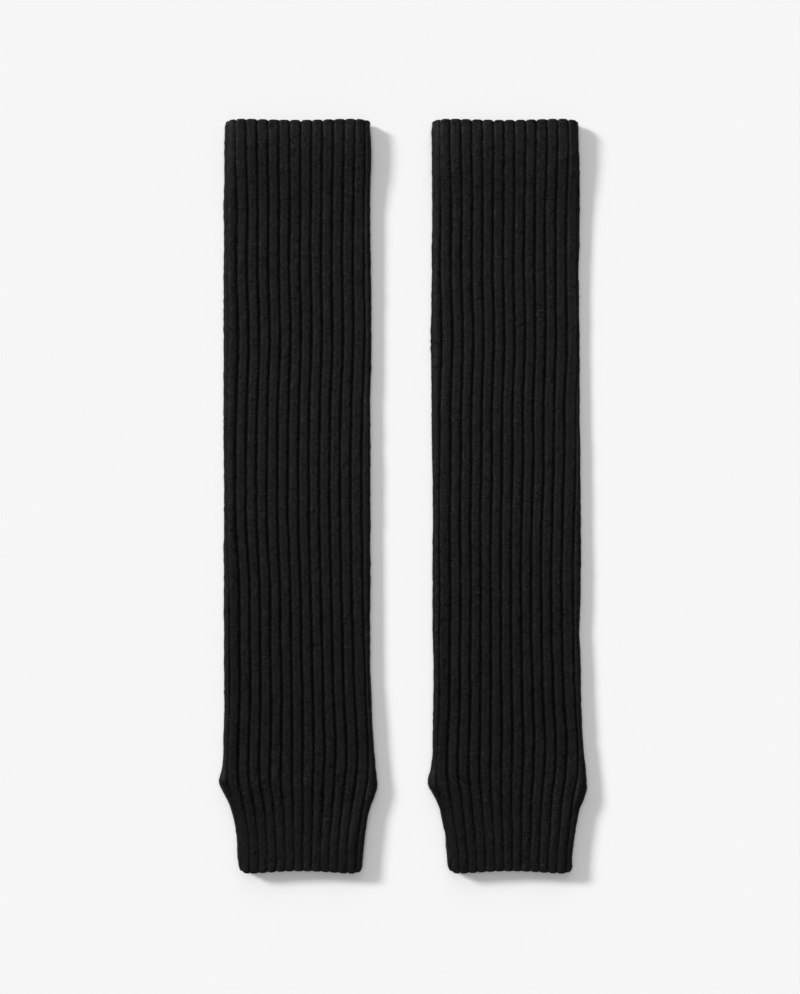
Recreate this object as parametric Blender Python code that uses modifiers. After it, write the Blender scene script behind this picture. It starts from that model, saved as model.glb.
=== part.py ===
"""A pair of ribbed pilates socks, laid flat side by side.

Each sock is one open tube of rib knit, with no toe and with a heel opening across its back.
Metres, +Z up. The socks lie on z = 0, with the knee ends towards +Y and the backs underneath.
"""

import math
from collections import namedtuple

import bpy

MM = 0.001

# The knit.
RIBS = 30
RIB_DEPTH = 1.2 * MM
GROOVE_WIDTH = 3.0 * MM
WALL = 1.7 * MM
RIB_SPREAD = 0.035  # how much wider ribs lie at the middle of the front and back than on average

# The edges.
GROOVE_NOTCH = 0.8 * MM  # how far each groove bites into a hem
HEM_CORNER = 4 * MM  # how far a hem is rounded off at the folds
HEM_DIP = 2.4 * MM  # how far a hem dips in at the middle
LIP_SAG = 6 * MM  # how far each lip of the heel opening lies back, at the middle

# The pair.
SPACING = 165 * MM

COLUMNS = 3 * RIBS

# One cross-section of a sock laid flat. In millimetres: its height above the foot hem, how far its
# middle lies to the right of the sock's axis, its width, its thickness, and how far the groove at
# the middle of the front has drifted to the right. edge names an edge of the knit that it lies on.
Section = namedtuple("Section", "edge height middle width thick drift")

LEFT = [
    Section("foot hem", 0, 2.5, 97.5, 12.0, 0.9),
    Section("", 8, 2.4, 99.5, 12.5, 0.9),
    Section("", 34, 2.9, 103.5, 13.0, 0.9),
    Section("", 56, 2.3, 114.0, 14.0, 1.6),
    Section("lower lip", 71.5, 0.9, 125.4, 13.0, 2.6),
    Section("upper lip", 74.5, 0.4, 125.8, 12.6, 2.6),
    Section("", 94, 1.3, 120.4, 12.0, 2.4),
    Section("", 135, 0.3, 117.1, 10.4, 3.0),
    Section("", 330, 0.1, 116.7, 8.6, -0.2),
    Section("", 470, 0.1, 117.2, 8.8, 1.9),
    Section("", 552, 0.1, 117.2, 12.0, 1.8),
    Section("", 594, 0.0, 115.4, 14.5, 1.7),
    Section("knee hem", 602, 0.3, 113.4, 14.5, 1.7),
]
RIGHT = [
    Section("foot hem", 0, 3.7, 97.5, 12.0, -4.6),
    Section("", 8, 3.6, 99.6, 12.5, -4.7),
    Section("", 34, 3.8, 104.6, 13.0, -5.4),
    Section("", 56, 3.6, 115.0, 14.0, -6.5),
    Section("lower lip", 71.5, 1.9, 126.8, 13.0, -6.4),
    Section("upper lip", 74.5, 1.6, 126.6, 12.6, -6.4),
    Section("", 94, 2.4, 121.0, 12.0, -6.1),
    Section("", 135, 1.6, 117.3, 10.4, -5.0),
    Section("", 330, 0.7, 117.1, 8.6, -4.2),
    Section("", 470, 0.0, 117.0, 8.8, -1.6),
    Section("", 552, 0.4, 117.2, 12.0, -2.4),
    Section("", 594, -0.2, 115.8, 14.5, -2.2),
    Section("knee hem", 602, -0.1, 113.8, 14.5, -2.2),
]


def clear_scene():
    for old in list(bpy.data.objects):
        bpy.data.objects.remove(old, do_unlink=True)


def knit_material(name):
    material = bpy.data.materials.new(name)
    material.use_nodes = True
    shader = material.node_tree.nodes["Principled BSDF"]
    shader.inputs["Base Color"].default_value = (0.011, 0.011, 0.011, 1.0)
    shader.inputs["Roughness"].default_value = 0.9
    shader.inputs["Metallic"].default_value = 0.0
    return material


def girth(section):
    """The length round a tube laid flat, whose folds are half circles."""
    return (2 * (section.width - section.thick) + math.pi * section.thick) * MM


def round_the_tube(section, travelled):
    """x, z and the outward normal at a length travelled from the middle of the front towards +X."""
    radius = section.thick * MM / 2
    flat = (section.width - section.thick) * MM
    fold = math.pi * radius
    half = flat + fold
    on_back = travelled % (2 * half) > half
    travelled %= half
    if travelled < flat / 2:
        x, z, out_x, out_z = travelled, radius, 0.0, 1.0
    elif travelled < flat / 2 + fold:
        turn = (travelled - flat / 2) / radius
        out_x, out_z = math.sin(turn), math.cos(turn)
        x, z = flat / 2 + radius * out_x, radius * out_z
    else:
        x, z, out_x, out_z = half - travelled, -radius, 0.0, -1.0
    if on_back:  # the other half is the same, turned half a turn about the tube's axis
        x, z, out_x, out_z = -x, -z, -out_x, -out_z
    return x, z + radius, out_x, out_z


def rib_stops(section):
    """The lengths travelled to each rib's groove and two shoulders, and how deep each one lies."""
    around = girth(section)
    pitch = around / RIBS
    for rib in range(RIBS):
        share = rib / RIBS
        share += RIB_SPREAD * math.sin(4 * math.pi * share) / (4 * math.pi)
        groove = share * around + section.drift * MM
        yield groove, RIB_DEPTH
        yield groove + GROOVE_WIDTH / 2, 0.0
        yield groove + pitch - GROOVE_WIDTH / 2, 0.0


def edge_shift(edge, across, depth, on_back):
    """How far up an edge is moved at a place from -1 to 1 across the sock."""
    hem = HEM_CORNER * abs(across) ** 8 + HEM_DIP * (1 - across**2) ** 2
    hem += GROOVE_NOTCH if depth else 0.0
    lip = LIP_SAG * (1 - across**2) if on_back else 0.0
    return {"": 0.0, "foot hem": hem, "knee hem": -hem, "lower lip": -lip, "upper lip": lip}[edge]


def ring(section):
    """One ring of points round the sock, and which of them lie on its back."""
    points = []
    backs = []
    for travelled, depth in rib_stops(section):
        x, z, out_x, out_z = round_the_tube(section, travelled)
        across = x / (section.width * MM / 2)
        on_back = out_z < -0.5
        y = section.height * MM + edge_shift(section.edge, across, depth, on_back)
        x += section.middle * MM
        points.append((x - depth * out_x, y, z - depth * out_z))
        backs.append(on_back)
    return points, backs


def knit_tube(name, sections):
    """A sock as an open surface of rings, given the knit's thickness inwards."""
    points = []
    faces = []
    for row, section in enumerate(sections):
        ring_points, backs = ring(section)
        points += ring_points
        if section is sections[-1]:
            break
        for column in range(COLUMNS):
            beside = (column + 1) % COLUMNS
            if section.edge == "lower lip" and backs[column] and backs[beside]:
                continue  # the heel opening
            low, high = row * COLUMNS, (row + 1) * COLUMNS
            faces.append((low + column, low + beside, high + beside, high + column))
    mesh = bpy.data.meshes.new(name)
    mesh.from_pydata(points, [], faces)
    mesh.materials.append(knit_material(name + "_knit"))
    sock = bpy.data.objects.new(name, mesh)
    wall = sock.modifiers.new("wall", "SOLIDIFY")
    wall.thickness = WALL
    wall.offset = -1.0
    wall.use_even_offset = True
    return sock


def centre_pair(socks):
    """Moves the pair so that the middle of its footprint is the origin."""
    for axis in (0, 1):
        places = [s.location[axis] + v.co[axis] for s in socks for v in s.data.vertices]
        middle = (min(places) + max(places)) / 2
        for sock in socks:
            sock.location[axis] -= middle


clear_scene()
left = knit_tube("sock_left", LEFT)
right = knit_tube("sock_right", RIGHT)
left.location.x = -SPACING / 2
right.location.x = SPACING / 2
centre_pair([left, right])
pair = bpy.data.collections.new("pilates_socks")
bpy.context.scene.collection.children.link(pair)
pair.objects.link(left)
pair.objects.link(right)
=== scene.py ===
"""The looks of a pair of ribbed pilates socks lying flat: rib knit, a pale floor, soft light, a camera.

Metres, in the CAD's frame, with +Y towards the knee ends. A sock is one closed shell, made as a grid:
each column runs along a rib, and the rows go up the outside from the foot hem, over the knee hem, down
the inside and back over the foot hem. The heel opening is then cut through the back.
"""

import math
from collections import namedtuple
from functools import partial

import bpy
import numpy as np
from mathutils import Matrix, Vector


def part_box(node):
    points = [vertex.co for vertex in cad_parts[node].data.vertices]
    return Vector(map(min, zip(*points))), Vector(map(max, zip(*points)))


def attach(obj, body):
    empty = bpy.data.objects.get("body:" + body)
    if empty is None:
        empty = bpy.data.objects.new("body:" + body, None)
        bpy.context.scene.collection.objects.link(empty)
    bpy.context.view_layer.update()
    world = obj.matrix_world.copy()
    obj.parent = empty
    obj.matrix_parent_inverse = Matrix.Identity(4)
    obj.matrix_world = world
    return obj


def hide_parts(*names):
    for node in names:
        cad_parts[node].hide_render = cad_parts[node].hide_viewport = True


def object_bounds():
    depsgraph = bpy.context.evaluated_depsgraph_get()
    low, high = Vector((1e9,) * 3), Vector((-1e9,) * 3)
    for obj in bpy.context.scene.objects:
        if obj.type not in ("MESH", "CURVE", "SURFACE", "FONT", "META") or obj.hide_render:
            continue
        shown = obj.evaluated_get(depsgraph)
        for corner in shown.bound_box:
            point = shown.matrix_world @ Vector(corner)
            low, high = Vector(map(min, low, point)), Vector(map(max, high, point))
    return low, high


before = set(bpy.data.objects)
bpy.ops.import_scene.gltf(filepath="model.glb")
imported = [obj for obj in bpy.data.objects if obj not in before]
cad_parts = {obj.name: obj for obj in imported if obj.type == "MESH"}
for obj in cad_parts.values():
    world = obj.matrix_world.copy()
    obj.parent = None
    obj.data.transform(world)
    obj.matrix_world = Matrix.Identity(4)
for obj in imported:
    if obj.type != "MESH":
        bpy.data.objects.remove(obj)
cad_low, cad_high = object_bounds()

MM = 0.001

# The ribs. Places across a rib go from 0 at its left groove to 1 at its right one.
RIBS = 30
# The columns of a shell across one rib, closer together at its sides.
RIB_STOPS = (0.0, 0.045, 0.09, 0.14, 0.21, 0.32, 0.5, 0.68, 0.79, 0.86, 0.91, 0.955)
KNIT_THICKNESS = 2.9 * MM
RIB_ROUND = 0.1 * MM  # how far a rib falls from its middle to its sides
CREST_SHAPE = 4  # how suddenly what stands on a rib falls off at its sides
GROOVE_SHAPE = 1.3  # below 2, a groove is narrow at its bottom and opens gradually
WALES = (0.3, 0.7)  # where the two columns of stitches lie across a rib
WALE_REACH = 0.13  # how wide each is, as a share of the rib
WALE_DIP = 0.11 * MM  # the shallow line between the two
WALE_DIP_REACH = 1.1 * MM
PEBBLE = 0.12 * MM  # how uneven single stitches are
INSIDE_RELIEF = 0.4 * MM  # how far the ribs stand out on the inside
PRESSED = 0.25  # how much shallower the grooves are underneath, where the sock lies on them
LAYER_GAP = 0.3 * MM  # the least room between the two layers of a sock
COURSE = 2.6 * MM  # the height of one row of stitches

# The folds at a sock's two sides.
FOLD_STEPS = 241
FOLD_REACH = 1.5  # how far a fold's curve reaches in, as a share of half the thickness
FOLD_SPAN = 9 * MM  # ribs crowd or spread within about this much of a fold
LEFT_ROLL = 0.9 * MM  # how far the ribs roll round the left fold, towards the back
RIGHT_ROLL = 2.2 * MM  # and round the right fold
LEFT_OPENING = 0.65  # how much shallower the grooves are round the left fold
RIGHT_OPENING = 0.4  # and round the right fold
SHOULDER = 1.3 * MM  # how far the front stands up just inside the right fold
SHOULDER_PLACE = 1 * MM  # where that is highest, in from the edge
SHOULDER_REACH = 2.2 * MM
SOFT_SPAN = 14 * MM  # the grooves are soft within about this much of the left fold
SOFT_FROM = 220 * MM  # which begins at this height
SOFT_RISE = 80 * MM  # and is full this much higher
SOFT_WIDENING = 1.3  # how much wider soft grooves are, as a share
SOFT_SHALLOWING = 0.3  # and how much shallower

# The folds that two turns round the tube pass, in quarters of a turn from the middle of the front,
# and how far the ribs roll there.
FOLD_ROLLS = ((-1, LEFT_ROLL), (1, -RIGHT_ROLL), (3, LEFT_ROLL), (5, -RIGHT_ROLL))
TURN_STEPS = 1201
GIRTH_ROWS = 200
ON_BACK = -0.5  # a place whose way out of the cloth points up less than this is on the back

# What is uneven about the ribs: the random draw that it takes, its longest wave in metres, how many
# ever shorter waves it adds up, and how far it goes, as a share or in metres.
Uneven = namedtuple("Uneven", "draw longest waves most")
GROOVE_DEPTHS = Uneven(1, 0.12, 4, 0.15)
RIB_SWELLS = Uneven(2, 0.09, 5, 0.21 * MM)
GROOVE_SWAY = Uneven(3, 0.15, 4, 0.22 * MM)
GROOVE_SHAKE = Uneven(4, 0.015, 3, 0.22 * MM)
GROOVE_WIDTHS = Uneven(5, 0.08, 5, 0.2)
WALE_SWELLS = (Uneven(6, 0.07, 5, 0.17 * MM), Uneven(7, 0.07, 5, 0.17 * MM))
GROOVE_EDGES = Uneven(8, 0.013, 2, 0.16)
NOTCHES = Uneven(9, 0.2, 4, 0.5)
WAVE_SPREAD = 0.25  # how far a wave's length may be off, as a share
WAVE_SHORTER = 1.7  # how much shorter each wave is than the one before
WAVE_FAINTER = 1.35  # and how much lower
WAVE_TOTAL = 2.2  # what brings their sum to about -1 to 1

# The edges, as heights above the foot end of the CAD solid's box.
FOOT_HEM = 0.2 * MM
KNEE_HEM = 598.6 * MM
HEM_RIM = 1.2 * MM  # how far a hem's round rim reaches past its last row
HEM_SWELL = 0.25 * MM  # how much the ribs swell at a hem
HEM_SWELL_REACH = 3 * MM
HEM_REACH = 5 * MM  # how far from a hem its rows follow its line
HEEL = 72.5 * MM
LIP_SPACE = 3 * MM  # between the two rows at the heel opening, before they lie back
LIP_SAG = 6 * MM  # how far each lip lies back in its middle
LIP_REACH = 20 * MM  # how far up and down the knit the heel opening pulls
LIP_ROUND = 0.7 * MM  # how far the opening's lips bulge into it

# How far each fold lies inside the sides of the CAD solid's box, in millimetres, by height.
Fold = namedtuple("Fold", "height left right")
LEFT_FOLDS = [
    Fold(0, 17.2, 12.4),
    Fold(4, 16.0, 11.4),
    Fold(12, 15.0, 11.0),
    Fold(20, 14.5, 10.3),
    Fold(30, 14.1, 9.3),
    Fold(38, 12.9, 8.1),
    Fold(45, 11.5, 7.0),
    Fold(51, 9.8, 5.5),
    Fold(57, 7.4, 3.5),
    Fold(61, 5.5, 2.0),
    Fold(65, 3.4, 0.7),
    Fold(69, 1.5, 0.0),
    Fold(73, 0.1, 0.1),
    Fold(77, 0.9, 0.5),
    Fold(83, 2.4, 1.0),
    Fold(91, 3.3, 1.5),
    Fold(109, 3.7, 3.1),
    Fold(130, 4.1, 4.2),
    Fold(165, 4.2, 5.4),
    Fold(210, 3.9, 5.4),
    Fold(270, 4.0, 5.1),
    Fold(370, 3.5, 5.1),
    Fold(450, 3.7, 4.3),
    Fold(530, 3.9, 5.4),
    Fold(568, 4.5, 4.6),
    Fold(587, 4.7, 5.0),
    Fold(594, 5.0, 5.4),
    Fold(599, 6.2, 5.4),
]
RIGHT_FOLDS = [
    Fold(0, 17.6, 12.6),
    Fold(4, 16.1, 11.6),
    Fold(12, 15.1, 11.5),
    Fold(20, 14.5, 10.7),
    Fold(30, 14.0, 9.4),
    Fold(38, 12.4, 8.1),
    Fold(45, 11.1, 7.1),
    Fold(51, 9.7, 5.8),
    Fold(57, 7.1, 3.2),
    Fold(61, 5.3, 1.9),
    Fold(65, 3.0, 0.3),
    Fold(69, 0.8, 0.0),
    Fold(73, 0.0, 0.1),
    Fold(77, 0.7, 0.5),
    Fold(83, 2.3, 1.0),
    Fold(91, 3.5, 1.8),
    Fold(109, 4.0, 3.4),
    Fold(130, 4.4, 4.6),
    Fold(165, 4.6, 4.9),
    Fold(190, 3.9, 5.9),
    Fold(225, 3.9, 5.0),
    Fold(290, 3.8, 4.9),
    Fold(370, 2.9, 5.6),
    Fold(408, 2.6, 5.8),
    Fold(488, 3.2, 6.4),
    Fold(530, 3.5, 5.7),
    Fold(568, 3.2, 6.3),
    Fold(587, 3.2, 7.0),
    Fold(594, 3.5, 7.3),
    Fold(599, 3.6, 7.6),
]

# How the ribs run over the front, in millimetres, by height: how far right of the middle of the CAD
# solid's box the middle groove lies, and how wide a rib is there.
Run = namedtuple("Run", "height middle pitch")
LEFT_RUNS = [
    Run(0, 4.3, 7.0),
    Run(17, 4.5, 7.0),
    Run(36, 4.7, 7.3),
    Run(48, 4.8, 7.6),
    Run(61, 4.5, 8.0),
    Run(73, 4.0, 8.4),
    Run(86, 4.3, 8.6),
    Run(103, 4.6, 8.6),
    Run(134, 4.2, 8.3),
    Run(182, 3.2, 8.2),
    Run(229, 2.4, 8.1),
    Run(277, 0.9, 8.3),
    Run(325, 0.7, 8.3),
    Run(372, 1.2, 8.3),
    Run(420, 2.9, 8.3),
    Run(483, 2.0, 8.4),
    Run(530, 2.4, 8.4),
    Run(573, 2.5, 8.6),
    Run(600, 2.8, 8.7),
]
RIGHT_RUNS = [
    Run(0, -2.8, 7.0),
    Run(17, -2.9, 7.1),
    Run(36, -3.2, 7.5),
    Run(48, -3.7, 7.7),
    Run(61, -4.3, 8.0),
    Run(73, -4.8, 8.4),
    Run(86, -4.7, 8.6),
    Run(103, -4.3, 8.6),
    Run(134, -4.3, 8.3),
    Run(182, -4.8, 8.1),
    Run(229, -4.8, 8.0),
    Run(277, -4.7, 8.1),
    Run(325, -3.7, 8.2),
    Run(372, -3.6, 8.2),
    Run(420, -2.1, 8.2),
    Run(483, -3.0, 8.3),
    Run(530, -2.8, 8.3),
    Run(573, -2.7, 8.5),
    Run(600, -2.8, 8.5),
]

# How thick a sock lies, how deep its grooves are and how far from their middles they reach, in
# millimetres, by height.
Lie = namedtuple("Lie", "height thick groove reach")
LIES = [
    Lie(0, 13.2, 1.15, 2.2),
    Lie(10, 13.3, 1.25, 2.4),
    Lie(30, 12.8, 1.35, 2.2),
    Lie(48, 12.0, 1.45, 1.6),
    Lie(62, 11.6, 1.8, 1.1),
    Lie(94, 10.8, 2.1, 0.85),
    Lie(135, 9.9, 2.1, 0.85),
    Lie(190, 9.0, 2.1, 0.85),
    Lie(260, 8.3, 2.1, 0.85),
    Lie(470, 8.3, 2.1, 0.85),
    Lie(500, 8.9, 2.1, 0.85),
    Lie(530, 9.8, 2.0, 0.85),
    Lie(560, 12.7, 1.8, 0.85),
    Lie(585, 14.5, 1.55, 0.9),
    Lie(599, 14.2, 1.1, 0.95),
]

# Soft troughs, and ridges where the depth is below zero, on the front and on the back. In millimetres
# and degrees: the middle's height and how far right of the sock's axis it is, the length, how far it
# leans to the right, its half width and its depth.
Crease = namedtuple("Crease", "side height across length lean half_width depth")
LEFT_CREASES = [
    Crease("front", 185, -43, 240, 0, 6, 0.5),
    Crease("front", 320, -51.5, 580, 0, 4, -0.7),
    Crease("front", 400, 56, 360, 0, 3, -0.5),
    Crease("front", 245, -10, 90, 38, 9, 0.4),
    Crease("front", 330, -8, 120, -6, 8, 0.4),
    Crease("front", 455, 12, 110, 5, 10, 0.4),
    Crease("front", 90, 48, 60, -14, 5, 0.5),
    Crease("front", 98, -46, 60, 12, 5, 0.6),
    Crease("front", 40, -30, 50, -16, 5, 0.5),
    Crease("front", 45, 20, 60, 10, 6, 0.4),
    Crease("back", 160, 40, 200, 2, 7, 0.5),
    Crease("back", 300, -20, 120, -14, 9, 0.4),
    Crease("back", 430, 28, 100, 8, 8, 0.4),
    Crease("back", 550, -10, 70, -20, 8, 0.6),
    Crease("back", 30, 12, 50, 14, 6, 0.5),
]
RIGHT_CREASES = [
    Crease("front", 190, -45, 260, 0, 6, 0.5),
    Crease("front", 330, -54, 560, 0, 3.5, -0.6),
    Crease("front", 300, 15, 110, -20, 9, 0.4),
    Crease("front", 400, 32, 130, 4, 8, 0.4),
    Crease("front", 150, 44, 120, -4, 7, 0.5),
    Crease("front", 92, 50, 60, -14, 5, 0.5),
    Crease("front", 96, -50, 60, 12, 5, 0.6),
    Crease("front", 42, -24, 60, -14, 6, 0.5),
    Crease("front", 48, 30, 50, 12, 5, 0.4),
    Crease("back", 170, -38, 220, -2, 7, 0.5),
    Crease("back", 340, 18, 130, 12, 9, 0.4),
    Crease("back", 470, -26, 110, -6, 8, 0.4),
    Crease("back", 560, 14, 60, 18, 8, 0.6),
    Crease("back", 34, -16, 50, -10, 6, 0.5),
]

# How a hem leaves a straight line: how far its middle, its corners and its notches between two ribs
# are drawn in, in millimetres, and how close to the corners the drawing in stays there.
Hem = namedtuple("Hem", "middle corner closeness notch")
FOOT_SHAPE = Hem(2.4, 2.6, 16, 0.8)
KNEE_SHAPE = Hem(1.4, 2.0, 8, 1.15)

# The rows of a shell.
ROW_STEP = 2.9 * MM
CLOSE_ROW_STEP = 1.2 * MM
CLOSE_REACH = 6 * MM  # rows are close this near to a hem or the heel opening
INSIDE_ROW_STEP = 18 * MM
HEM_TURN = 5  # rows round a hem, from the outside to the inside

# The black yarn's grey along the sock, from the foot hem (0) to the knee hem (1): lightest at the knee
# hem, darkest a little above the foot hem.
Shade = namedtuple("Shade", "at grey")
SHADES = [
    Shade(0.00, 0.0050),
    Shade(0.06, 0.0043),
    Shade(0.12, 0.0050),
    Shade(0.22, 0.0048),
    Shade(0.36, 0.0053),
    Shade(0.52, 0.0060),
    Shade(0.86, 0.0061),
    Shade(0.94, 0.0068),
    Shade(1.00, 0.0075),
]

# The stitches, as shares of a rib across it and of a row of stitches up it.
WALE_PLACE = 0.2  # how far a column of stitches lies from the middle of its rib
LEG_WIDTH = 0.2
LEG_RISE = 0.55
LEG_FALL = 0.8  # how far a leg falls to its sides
STITCH_SHAPE = 0.6  # below 1, a leg of a stitch is broad on top
SPECKS = (7, 2)  # how many cells for specks lie across a rib and up a row
FLUFF_SIZE = 2.4 * MM
FLUFF_SQUASH = (1, 1.5, 1)
FIBRE_SIZE = 0.35 * MM
PATCH_SIZE = 25 * MM
WORN_SIZE = 8 * MM
WORN_CONTRAST = 5  # how suddenly a worn patch begins
WORN_FROM = 2.2
STREAKS = (6, 0.15)  # how fast the streaks change across a rib and up a row

# The yarn's looks. A pair is what is always there, and what wear, a stitch or a noise adds to it. The
# stitch pair is painted shade: darker in the grooves, between the two columns of stitches and between
# the legs of the stitches.
GLOSS = 0.072
ROUGHNESS = (0.34, 0.2)
FLUFF_TONE = (1.7, 2.8)
RUNG_TONE = (0.1, 0.5)
STITCH_SHADE = (0.92, 0.12)
PATCH_TONE = (0.85, 0.3)
STREAK_TONE = (0.85, 0.3)
SPECK_FROM = 0.996  # the chance above which a cell has a light speck
SPECK_TONE = 0.8
PIT_BELOW = 0.008
PIT_TONE = 0.5
MARK_FROM = 0.985  # the chance above which a row of stitches shows across a rib
MARK_TONE = 0.25
STITCH_HEIGHT = (0.11 * MM, 0.16 * MM)
FLUFF_HEIGHT = 0.12 * MM
FIBRE_HEIGHT = 0.10 * MM
PARTING_REACH = 0.07  # how far the line between two columns of stitches reaches, as a share of a rib
PARTING_DEPTH = 0.15 * MM
BUMP_STRENGTH = 0.6

# The studio.
CAMERA_HEIGHT = 2.0
FIELD_HEIGHT = 0.7915  # how much floor the picture's height shows
FRAMING = (-2.3 * MM, -1.4 * MM)  # from the pair's middle to the picture's
SENSOR = 36 * MM
VIEW_END = 100  # how far the camera sees
FLOOR_SIZE = 24.0
FLOOR_GREYS = (0.792, 0.808)
FLOOR_GRAIN = 6 * MM
FLOOR_ROUGHNESS = 0.9
ROOM_BRIGHTNESS = 0.15

# Where each light comes from, its strength, how wide it looks in degrees, and whether the knit shows
# its gloss.
Light = namedtuple("Light", "name start strength angle glossy")
LIGHTS = [
    Light("softbox", (-16.0, 8.6, 10.0), 3.36, 13.0, True),
    Light("overhead", (-0.6, 0.8, 10.0), 0.5, 36.0, True),
    Light("ceiling", (0.6, 0.8, 10.0), 0.59, 36.0, False),
    Light("end_softbox", (-1.0, 10.0, 8.0), 0.76, 60.0, True),
]

# low and high are the corners of the CAD solid's box, and seed starts a sock's random draws.
Sock = namedtuple("Sock", "name low high folds runs creases seed")


def along(rows, column, heights):
    """A column of a table at these heights, in metres, on a smooth curve through its rows."""
    at = np.array([row.height for row in rows]) * MM
    value = np.array([getattr(row, column) for row in rows]) * MM
    slope = np.gradient(value, at)
    i = np.clip(np.searchsorted(at, heights) - 1, 0, len(at) - 2)
    step = at[i + 1] - at[i]
    t = np.clip((heights - at[i]) / step, 0, 1)
    return (
        value[i] * (1 + 2 * t) * (1 - t) ** 2
        + value[i + 1] * t**2 * (3 - 2 * t)
        + step * t * (1 - t) * (slope[i] * (1 - t) - slope[i + 1] * t)
    )


def wander(heights, seed, longest, waves):
    """A smooth uneven wave from about -1 to 1 along a sock, the same each time for a seed."""
    chance = np.random.default_rng(seed)
    total = np.zeros_like(heights)
    for wave in range(waves):
        spread = chance.uniform(1 - WAVE_SPREAD, 1 + WAVE_SPREAD)
        length = longest * spread / WAVE_SHORTER**wave
        total += np.sin(2 * math.pi * (heights / length + chance.random())) / WAVE_FAINTER**wave
    return total / WAVE_TOTAL


def wander_each(sock, heights, uneven):
    """A wave for each rib, one column each, with the first again at the end to close the tube."""
    each = [
        wander(heights, (sock.seed, rib, uneven.draw), uneven.longest, uneven.waves)
        for rib in range(RIBS)
    ]
    return uneven.most * np.stack(each + each[:1], axis=1)


def bell(distance, reach):
    """1 at no distance, and falling off to both sides within about the reach."""
    return np.exp(-((distance / reach) ** 2))


def crest(place):
    """1 over most of a rib, falling to 0 at its two grooves."""
    return 1 - np.abs(2 * place - 1) ** CREST_SHAPE


def row_heights(step, close_step):
    """Rows from hem to hem, close together at both hems and at the two lips of the heel opening."""
    below = (FOOT_HEM + HEM_RIM, HEEL - LIP_SPACE / 2)
    above = (HEEL + LIP_SPACE / 2, KNEE_HEM - HEM_RIM)
    close = np.arange(round(CLOSE_REACH / close_step)) * close_step
    rows = []
    for start, end in (below, above):
        steps = round((end - start - 2 * CLOSE_REACH) / step)
        between = np.linspace(start + CLOSE_REACH, end - CLOSE_REACH, steps + 1)
        rows += [start + close, between, end - close[::-1]]
    return np.concatenate(rows)


def fold_curve():
    """The turns of a fold of radius 1, which is half an ellipse, and the lengths travelled to them."""
    turns = np.linspace(0, math.pi, FOLD_STEPS)
    pace = np.hypot(FOLD_REACH * np.cos(turns), np.sin(turns))
    steps = (pace[1:] + pace[:-1]) / 2 * np.diff(turns)
    return turns, np.concatenate([[0], np.cumsum(steps)])


FOLD_TURNS, FOLD_LENGTHS = fold_curve()


def lie_of(sock, rows):
    """The tube's middle, girth, thickness and flat width at each row."""
    left = sock.low.x + along(sock.folds, "left", rows)
    right = sock.high.x - along(sock.folds, "right", rows)
    thick = along(LIES, "thick", rows)
    flat = right - left - FOLD_REACH * thick
    return (left + right) / 2, 2 * flat + FOLD_LENGTHS[-1] * thick, thick, flat


def folds_passed(place, girth):
    """How many folds lie before a place round the tube, rising smoothly by one at each."""
    return sum(np.tanh((place - girth * fold / 4) / FOLD_SPAN) / 2 for fold, _ in FOLD_ROLLS)


def groove_lines(sock, rows):
    """How far round the tube each groove lies from the middle of the front, and the first again."""
    middle, around, _, _ = lie_of(sock, rows)
    start = (sock.low.x + sock.high.x) / 2 + along(sock.runs, "middle", rows) - middle
    pitch = along(sock.runs, "pitch", rows)
    lines = []
    for first, girth, wide in zip(start, around, pitch):
        place = np.linspace(-0.5, 1.5, TURN_STEPS) * girth
        crowd = (RIBS - girth / wide) / 2
        count = (place - first) / wide
        count = count + crowd * (folds_passed(place, girth) - folds_passed(first, girth))
        for fold, roll in FOLD_ROLLS:
            count += roll / wide * bell(place - girth * fold / 4, FOLD_SPAN)
        lines.append(np.interp(np.arange(RIBS), count, place))
    lines = np.array(lines)
    lines = np.concatenate([lines, lines[:, :1] + around[:, None]], axis=1)
    lines += wander_each(sock, rows, GROOVE_SWAY)
    return lines + wander_each(sock, rows, GROOVE_SHAKE)


def round_the_tube(travelled, flat, radius):
    """x, z and the way out of the cloth at lengths travelled from the middle of the front to +X."""
    fold = FOLD_LENGTHS[-1] * radius
    half = flat + fold
    on_back = np.mod(travelled, 2 * half) > half
    travelled = np.mod(travelled, half)
    turn = np.interp((travelled - flat / 2) / radius, FOLD_LENGTHS, FOLD_TURNS)
    x = np.where(travelled < flat / 2, travelled, flat / 2)
    x = np.where(travelled > flat / 2 + fold, half - travelled, x)
    side = np.where(on_back, -1, 1)
    out_x, out_z = side * np.sin(turn), side * np.cos(turn)
    return side * x + FOLD_REACH * radius * out_x, radius + radius * out_z, out_x, out_z


def troughs(sock, side, across, heights):
    """How far the creases on one side of the sock press it in."""
    drop = np.zeros_like(across)
    for crease in sock.creases:
        if crease.side != side:
            continue
        lean = math.radians(crease.lean)
        right = across - crease.across * MM
        up = heights - crease.height * MM
        beside = right * math.cos(lean) - up * math.sin(lean)
        lengthwise = right * math.sin(lean) + up * math.cos(lean)
        fade = np.clip(1 - (2 * lengthwise / (crease.length * MM)) ** 2, 0, 1) ** 2
        drop += crease.depth * MM * fade * bell(beside, crease.half_width * MM)
    return drop


def drawn_in(hem, across, notch):
    """How far a hem is drawn in at places across the sock, from -1 to 1, that have these notches."""
    middle = hem.middle * (1 - across**2) ** 2
    corner = hem.corner * np.abs(across) ** hem.closeness
    return (middle + corner) * MM + hem.notch * notch


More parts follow.
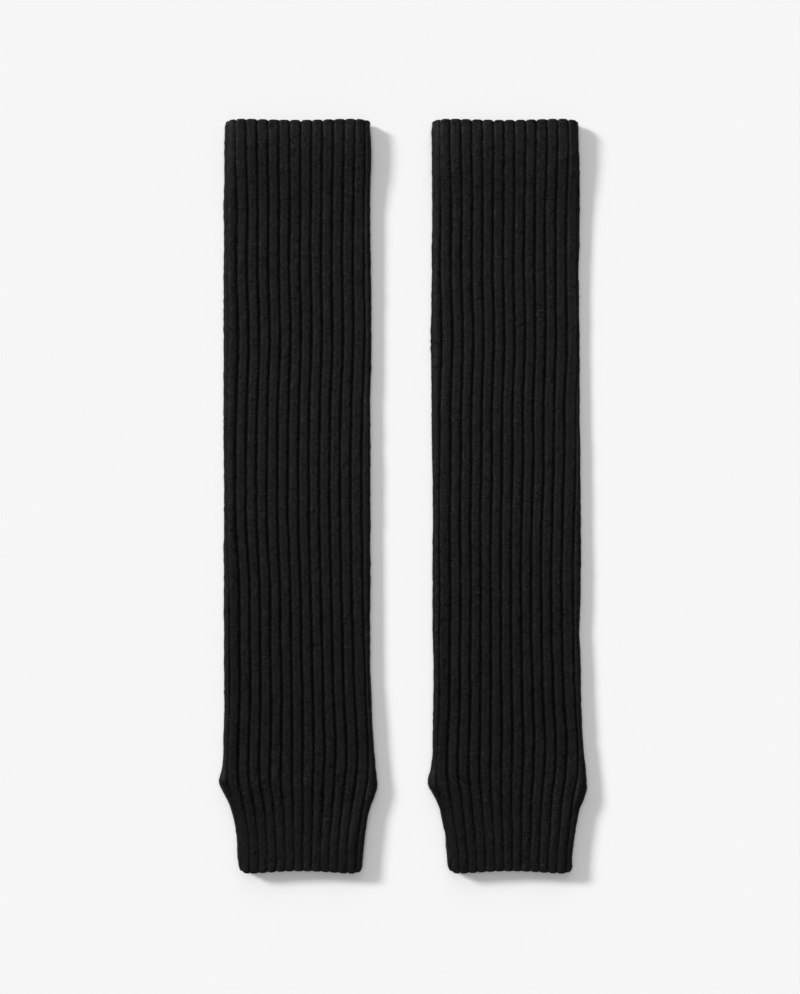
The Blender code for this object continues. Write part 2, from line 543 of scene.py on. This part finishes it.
def grooves(sock, heights, lines, around, thick):
    """How deep each groove is and how far it reaches to its sides, in a column for each."""
    rows = heights[:, None]
    to_left_fold = np.abs(np.mod(lines - around / 4, around) - around / 2)
    to_right_fold = around / 2 - to_left_fold
    opened = 1 - LEFT_OPENING * bell(to_left_fold, thick)
    opened = opened - RIGHT_OPENING * bell(to_right_fold, thick)
    soft = bell(to_left_fold, SOFT_SPAN) * np.clip((rows - SOFT_FROM) / SOFT_RISE, 0, 1)
    deep = along(LIES, "groove", rows) * (1 + wander_each(sock, heights, GROOVE_DEPTHS))
    deep = deep * opened * (1 - SOFT_SHALLOWING * soft)
    reach = along(LIES, "reach", rows) * (1 + wander_each(sock, heights, GROOVE_WIDTHS))
    reach = reach * (1 + wander_each(sock, heights, GROOVE_EDGES)) * (1 + SOFT_WIDENING * soft)
    return deep, reach


def relief(sock, heights, rib, place, rib_width, deep, reach, underneath):
    """How far the outer surface stands out at each place of each row.

    rib and place say which rib a column is on and where across it. underneath is 1 where the sock
    lies on its back.
    """
    rows = heights[:, None]
    to_hem = np.minimum(rows - FOOT_HEM, KNEE_HEM - rows)
    swell = wander_each(sock, heights, RIB_SWELLS)[:, rib]
    outer = (swell + HEM_SWELL * bell(to_hem, HEM_SWELL_REACH)) * crest(place)
    outer = outer - WALE_DIP * bell((place - 0.5) * rib_width, WALE_DIP_REACH)
    outer = outer - RIB_ROUND * (2 * place - 1) ** 2
    for wale, swells in zip(WALES, WALE_SWELLS):
        outer = outer + wander_each(sock, heights, swells)[:, rib] * bell(place - wale, WALE_REACH)
    left = np.exp(-((place * rib_width / reach[:, rib]) ** GROOVE_SHAPE))
    right = np.exp(-(((1 - place) * rib_width / reach[:, rib + 1]) ** GROOVE_SHAPE))
    sunk = (deep[:, rib] * left + deep[:, rib + 1] * right) * (1 - PRESSED * underneath)
    return outer - sunk + np.random.default_rng(sock.seed).normal(0, PEBBLE, outer.shape)


def skin(sock, heights, inside, past_hem):
    """The points of some rows of a shell, and which of them are on its back.

    heights has a value for each row. inside goes from 0 on the outer surface to 1 on the inner one,
    and past_hem is how far beyond its height a row round a hem reaches.
    """
    rib = np.repeat(np.arange(RIBS), len(RIB_STOPS))
    place = np.tile(RIB_STOPS, RIBS)[None, :]
    rows = heights[:, None]
    inside = inside[:, None]
    middle, around, thick, flat = lie_of(sock, rows)
    lines = groove_lines(sock, heights)
    rib_width = lines[:, rib + 1] - lines[:, rib]
    x, z, out_x, out_z = round_the_tube(lines[:, rib] + place * rib_width, flat, thick / 2)
    half_width = (flat + FOLD_REACH * thick) / 2
    across = x / half_width
    # Both rise from 0 at a fold to 1 where the cloth faces mostly up or mostly down.
    on_top = np.clip(out_z * 2, 0, 1)
    underneath = np.clip(-out_z * 2, 0, 1)

    deep, reach = grooves(sock, heights, lines, around, thick)
    outer = relief(sock, heights, rib, place, rib_width, deep, reach, underneath)
    inner = -KNIT_THICKNESS - INSIDE_RELIEF * np.cos(2 * math.pi * place)
    offset = outer * (1 - inside) + inner * inside

    shoulder = SHOULDER * bell(half_width - x - SHOULDER_PLACE, SHOULDER_REACH)
    z = z + on_top * (shoulder - troughs(sock, "front", x, rows))
    z = z + underneath * troughs(sock, "back", x, rows) + offset * out_z
    z = np.maximum(z, 0)
    parting = inside * LAYER_GAP / 2
    z = np.where(out_z > 0, np.maximum(z, thick / 2 + parting), np.minimum(z, thick / 2 - parting))

    notch = 1 + wander_each(sock, heights, NOTCHES)
    notch = np.where(place < 0.5, notch[:, rib], notch[:, rib + 1]) * (1 - crest(place)) * MM
    foot = drawn_in(FOOT_SHAPE, across, notch) * bell(rows - FOOT_HEM, HEM_REACH)
    knee = drawn_in(KNEE_SHAPE, across, notch) * bell(KNEE_HEM - rows, HEM_REACH)
    lip = LIP_SAG * (1 - across**2) * np.exp(-np.abs(rows - HEEL) / LIP_REACH)
    y = rows + foot - knee + underneath * lip * np.sign(rows - HEEL) + past_hem[:, None]
    return np.stack([middle + x + offset * out_x, sock.low.y + y, z], axis=2), out_z < ON_BACK


def round_the_opening(lower, upper, first, last, columns):
    """The points round the heel opening: along the row below it, and back along the one above it."""
    below = [lower * columns + column for column in range(first, last + 2)]
    above = [upper * columns + column for column in range(last + 1, first - 1, -1)]
    return below + above


def knit_shell(sock, material):
    """A sock's closed shell, with the heel opening cut through its back and its lips joined."""
    outside = row_heights(ROW_STEP, CLOSE_ROW_STEP)
    inside = row_heights(INSIDE_ROW_STEP, 2 * CLOSE_ROW_STEP)[::-1]
    turns = np.linspace(0, math.pi, HEM_TURN + 2)[1:-1]
    reach = HEM_RIM * np.sin(turns)
    over = (1 - np.cos(turns)) / 2
    up, backs = skin(sock, outside, np.zeros(len(outside)), np.zeros(len(outside)))
    knee, _ = skin(sock, np.full(HEM_TURN, outside[-1]), over, reach)
    down, _ = skin(sock, inside, np.ones(len(inside)), np.zeros(len(inside)))
    foot, _ = skin(sock, np.full(HEM_TURN, outside[0]), over[::-1], -reach)
    grid = np.concatenate([up, knee, down, foot])
    heights = np.concatenate([outside, outside[-1] + reach, inside, outside[0] - reach])
    rows, columns = grid.shape[:2]
    points = grid.reshape(-1, 3)

    # The opening lies between two rows, on the back, outside and inside.
    upper = int(np.argmin(np.abs(outside - HEEL - LIP_SPACE / 2)))
    lower = upper - 1
    inner_upper = len(outside) + HEM_TURN + int(np.argmin(np.abs(inside - HEEL - LIP_SPACE / 2)))
    inner_lower = inner_upper + 1
    opening = np.flatnonzero(backs[lower] & np.roll(backs[lower], -1))
    first, last = opening[0], opening[-1]

    faces = []
    uv = []
    stops = np.concatenate([(np.arange(RIBS)[:, None] + np.array(RIB_STOPS)).ravel(), [RIBS]])
    courses = heights / COURSE
    for row in range(rows):
        after = (row + 1) % rows
        for column in range(columns):
            if row in (lower, inner_upper) and first <= column <= last:
                continue
            beside = (column + 1) % columns
            faces.append(
                (row * columns + column, row * columns + beside,
                 after * columns + beside, after * columns + column)
            )
            uv += [stops[column], courses[row], stops[column + 1], courses[row]]
            uv += [stops[column + 1], courses[after], stops[column], courses[after]]

    # The lips are rounded by a ring of points half way between the outer and the inner loop. Its faces
    # look like the middle of a rib.
    outer_loop = round_the_opening(lower, upper, first, last, columns)
    inner_loop = round_the_opening(inner_lower, inner_upper, first, last, columns)
    ring = (points[outer_loop] + points[inner_loop]) / 2
    ring[:, 1] += np.sign(HEEL + sock.low.y - ring[:, 1]) * LIP_ROUND
    ring_loop = list(range(len(points), len(points) + len(ring)))
    for i in range(len(ring)):
        j = (i + 1) % len(ring)
        faces.append((outer_loop[j], outer_loop[i], ring_loop[i], ring_loop[j]))
        faces.append((ring_loop[j], ring_loop[i], inner_loop[i], inner_loop[j]))
        uv += [0.5, HEEL / COURSE] * 8

    mesh = bpy.data.meshes.new(sock.name)
    mesh.from_pydata(np.concatenate([points, ring]).tolist(), [], faces)
    mesh.uv_layers.new(name="knit").data.foreach_set("uv", uv)
    for face in mesh.polygons:
        face.use_smooth = True
    mesh.materials.append(material)
    piece = bpy.data.objects.new(sock.name, mesh)
    bpy.context.scene.collection.objects.link(piece)
    return piece


def calculate(tree, operation, *values):
    """A Math node's result. Each value is a number or another node's output."""
    node = tree.nodes.new("ShaderNodeMath")
    node.operation = operation
    for socket, value in zip(node.inputs, values):
        if isinstance(value, bpy.types.NodeSocket):
            tree.links.new(value, socket)
        else:
            socket.default_value = value
    return node.outputs[0]


def chance_by(tree, across, up):
    """A number from 0 to 1 that changes by chance from one cell of the knit to the next."""
    cell = tree.nodes.new("ShaderNodeCombineXYZ")
    tree.links.new(calculate(tree, "FLOOR", across), cell.inputs[0])
    tree.links.new(calculate(tree, "FLOOR", up), cell.inputs[1])
    chance = tree.nodes.new("ShaderNodeTexWhiteNoise")
    chance.noise_dimensions = "2D"
    tree.links.new(cell.outputs[0], chance.inputs["Vector"])
    return chance.outputs["Value"]


def noise_on(tree, where, size, detail):
    """A soft noise from 0 to 1, whose patches are about this size."""
    noise = tree.nodes.new("ShaderNodeTexNoise")
    noise.inputs["Scale"].default_value = 1 / size
    noise.inputs["Detail"].default_value = detail
    tree.links.new(where, noise.inputs["Vector"])
    return noise.outputs["Fac"]


def new_material(name):
    """A material, its nodes and its shader."""
    material = bpy.data.materials.new(name)
    material.use_nodes = True
    tree = material.node_tree
    return material, tree, tree.nodes["Principled BSDF"]


def knit_material():
    """Black yarn in V stitches, two columns to a rib, with fluff, an uneven tone, a grey that changes
    with height, and painted shade in the grooves and between the stitch legs.
    """
    material, tree, shader = new_material("black_rib_knit")
    shader.inputs["Specular IOR Level"].default_value = GLOSS
    add = partial(calculate, tree, "ADD")
    subtract = partial(calculate, tree, "SUBTRACT")
    multiply = partial(calculate, tree, "MULTIPLY")
    multiply_add = partial(calculate, tree, "MULTIPLY_ADD")
    absolute = partial(calculate, tree, "ABSOLUTE")
    larger = partial(calculate, tree, "MAXIMUM")

    def mixed(share, amounts):
        """The first amount, and the second in proportion to a share."""
        always, added = amounts
        return multiply_add(share, added, always)

    place = tree.nodes.new("ShaderNodeTexCoord").outputs["Object"]
    knit = tree.nodes.new("ShaderNodeUVMap")
    knit.uv_map = "knit"
    parts = tree.nodes.new("ShaderNodeSeparateXYZ")
    tree.links.new(knit.outputs[0], parts.inputs[0])
    ribs, courses = parts.outputs[0], parts.outputs[1]

    # A stitch is two legs that rise outwards from the middle of its column.
    from_middle = absolute(subtract(calculate(tree, "FRACT", ribs), 0.5))
    leg = multiply(absolute(subtract(from_middle, WALE_PLACE)), 1 / LEG_WIDTH)
    climb = subtract(courses, multiply(leg, LEG_RISE))
    phase = multiply_add(calculate(tree, "FRACT", climb), 2, -1)
    length_hump = subtract(1, multiply(phase, phase))
    side = multiply_add(leg, 2, -1)
    side_hump = subtract(1, multiply(multiply(side, side), LEG_FALL))
    stitch = calculate(tree, "POWER", multiply(length_hump, larger(side_hump, 0)), STITCH_SHAPE)

    # Chance by the stitch, by the speck and by the rib, and noises of several sizes.
    wale_chance = chance_by(tree, multiply(ribs, 2), climb)
    speck_chance = chance_by(tree, multiply(ribs, SPECKS[0]), multiply(courses, SPECKS[1]))
    mark_chance = chance_by(tree, ribs, courses)
    squashed = tree.nodes.new("ShaderNodeVectorMath")
    squashed.operation = "MULTIPLY"
    squashed.inputs[1].default_value = FLUFF_SQUASH
    tree.links.new(place, squashed.inputs[0])
    fluff = noise_on(tree, squashed.outputs[0], FLUFF_SIZE, 2)
    fibre = noise_on(tree, place, FIBRE_SIZE, 3)
    patches = noise_on(tree, place, PATCH_SIZE, 2)
    worn = multiply_add(noise_on(tree, place, WORN_SIZE, 2), WORN_CONTRAST, -WORN_FROM)
    worn = calculate(tree, "MINIMUM", larger(worn, 0), 1)
    lengthwise = tree.nodes.new("ShaderNodeCombineXYZ")
    tree.links.new(multiply(ribs, STREAKS[0]), lengthwise.inputs[0])
    tree.links.new(multiply(courses, STREAKS[1]), lengthwise.inputs[1])
    streaks = noise_on(tree, lengthwise.outputs[0], 1, 2)

    # Where the knit is worn, its rows of stitches show as short rungs and the fluff is uneven.
    rungs = multiply(subtract(wale_chance, 0.5), mixed(worn, RUNG_TONE))
    tone = multiply_add(subtract(fluff, 0.5), mixed(worn, FLUFF_TONE), 1)
    tone = multiply(tone, add(rungs, 1))
    # Painted shade: the knit is darkest in the grooves and between the legs of the stitches, and
    # lighter on the legs.
    tone = multiply(tone, mixed(stitch, STITCH_SHADE))
    tone = multiply(tone, mixed(patches, PATCH_TONE))
    tone = multiply(tone, mixed(streaks, STREAK_TONE))
    speck = calculate(tree, "GREATER_THAN", speck_chance, SPECK_FROM)
    tone = add(tone, multiply(speck, SPECK_TONE))
    pit = calculate(tree, "LESS_THAN", speck_chance, PIT_BELOW)
    tone = subtract(tone, multiply(pit, PIT_TONE))
    mark = calculate(tree, "GREATER_THAN", mark_chance, MARK_FROM)
    tone = add(tone, multiply(multiply(mark, length_hump), MARK_TONE))

    # The grey changes along the sock as SHADES lists, lightest at the knee hem.
    grey_by_height = tree.nodes.new("ShaderNodeValToRGB")
    share_up = calculate(tree, "DIVIDE", courses, (KNEE_HEM - FOOT_HEM) / COURSE)
    tree.links.new(share_up, grey_by_height.inputs[0])
    while len(grey_by_height.color_ramp.elements) < len(SHADES):
        grey_by_height.color_ramp.elements.new(0.5)
    for element, shade in zip(grey_by_height.color_ramp.elements, SHADES):
        element.position = shade.at
        element.color = (shade.grey, shade.grey, shade.grey, 1)
    colour = tree.nodes.new("ShaderNodeVectorMath")
    colour.operation = "SCALE"
    tree.links.new(grey_by_height.outputs[0], colour.inputs[0])
    tree.links.new(tone, colour.inputs["Scale"])
    tree.links.new(colour.outputs[0], shader.inputs["Base Color"])
    tree.links.new(mixed(fibre, ROUGHNESS), shader.inputs["Roughness"])

    height = multiply(stitch, mixed(worn, STITCH_HEIGHT))
    height = add(height, multiply(fluff, FLUFF_HEIGHT))
    height = add(height, multiply(fibre, FIBRE_HEIGHT))
    parting = larger(multiply_add(from_middle, -1 / PARTING_REACH, 1), 0)
    height = subtract(height, multiply(parting, PARTING_DEPTH))
    bump = tree.nodes.new("ShaderNodeBump")
    bump.inputs["Distance"].default_value = 1.0
    bump.inputs["Strength"].default_value = BUMP_STRENGTH
    tree.links.new(height, bump.inputs["Height"])
    tree.links.new(bump.outputs[0], shader.inputs["Normal"])
    return material


def floor_material():
    """Pale matt paper with a faint grain."""
    material, tree, shader = new_material("pale_floor")
    shader.inputs["Roughness"].default_value = FLOOR_ROUGHNESS
    shader.inputs["Specular IOR Level"].default_value = 0.0
    place = tree.nodes.new("ShaderNodeTexCoord").outputs["Object"]
    paper = tree.nodes.new("ShaderNodeValToRGB")
    for element, grey in zip(paper.color_ramp.elements, FLOOR_GREYS):
        element.color = (grey, grey, grey, 1)
    tree.links.new(noise_on(tree, place, FLOOR_GRAIN, 4), paper.inputs[0])
    tree.links.new(paper.outputs[0], shader.inputs["Base Color"])
    return material


def add_floor():
    """The floor that the socks lie on, which is no part of them."""
    mesh = bpy.data.meshes.new("floor")
    half = FLOOR_SIZE / 2
    corners = [(-half, -half, 0), (half, -half, 0), (half, half, 0), (-half, half, 0)]
    mesh.from_pydata(corners, [], [(0, 1, 2, 3)])
    mesh.materials.append(floor_material())
    floor = bpy.data.objects.new("floor", mesh)
    floor.location.z = cad_low.z
    bpy.context.scene.collection.objects.link(floor)


def add_lights():
    """Far soft lights, each aimed at the middle of the scene, in an evenly lit room."""
    for light in LIGHTS:
        lamp = bpy.data.lights.new(light.name, "SUN")
        lamp.energy = light.strength
        lamp.angle = math.radians(light.angle)
        softbox = bpy.data.objects.new(light.name, lamp)
        softbox.location = light.start
        softbox.visible_glossy = light.glossy
        softbox.rotation_euler = softbox.location.to_track_quat("Z", "Y").to_euler()
        bpy.context.scene.collection.objects.link(softbox)

    world = bpy.data.worlds.new("room")
    world.use_nodes = True
    background = world.node_tree.nodes["Background"]
    background.inputs["Strength"].default_value = ROOM_BRIGHTNESS
    background.inputs["Color"].default_value = (1, 1, 1, 1)
    bpy.context.scene.world = world
    bpy.context.scene.view_settings.view_transform = "Standard"


def add_camera():
    """A camera that looks straight down on the pair."""
    lens = bpy.data.cameras.new("camera")
    lens.sensor_width = SENSOR / MM
    lens.lens = SENSOR / MM * CAMERA_HEIGHT / FIELD_HEIGHT
    lens.clip_end = VIEW_END
    camera = bpy.data.objects.new("camera", lens)
    middle = (cad_low + cad_high) / 2
    camera.location = (middle.x + FRAMING[0], middle.y + FRAMING[1], cad_low.z + CAMERA_HEIGHT)
    bpy.context.scene.collection.objects.link(camera)
    bpy.context.scene.camera = camera


left = Sock("knit_left", *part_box("sock_left"), LEFT_FOLDS, LEFT_RUNS, LEFT_CREASES, 11)
right = Sock("knit_right", *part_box("sock_right"), RIGHT_FOLDS, RIGHT_RUNS, RIGHT_CREASES, 23)
yarn = knit_material()
for sock, node in ((left, "sock_left"), (right, "sock_right")):
    piece = knit_shell(sock, yarn)
    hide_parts(node)
    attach(piece, "root")
    _, girth, _, _ = lie_of(sock, np.linspace(FOOT_HEM, KNEE_HEM, GIRTH_ROWS))
add_floor()
add_lights()
add_camera()
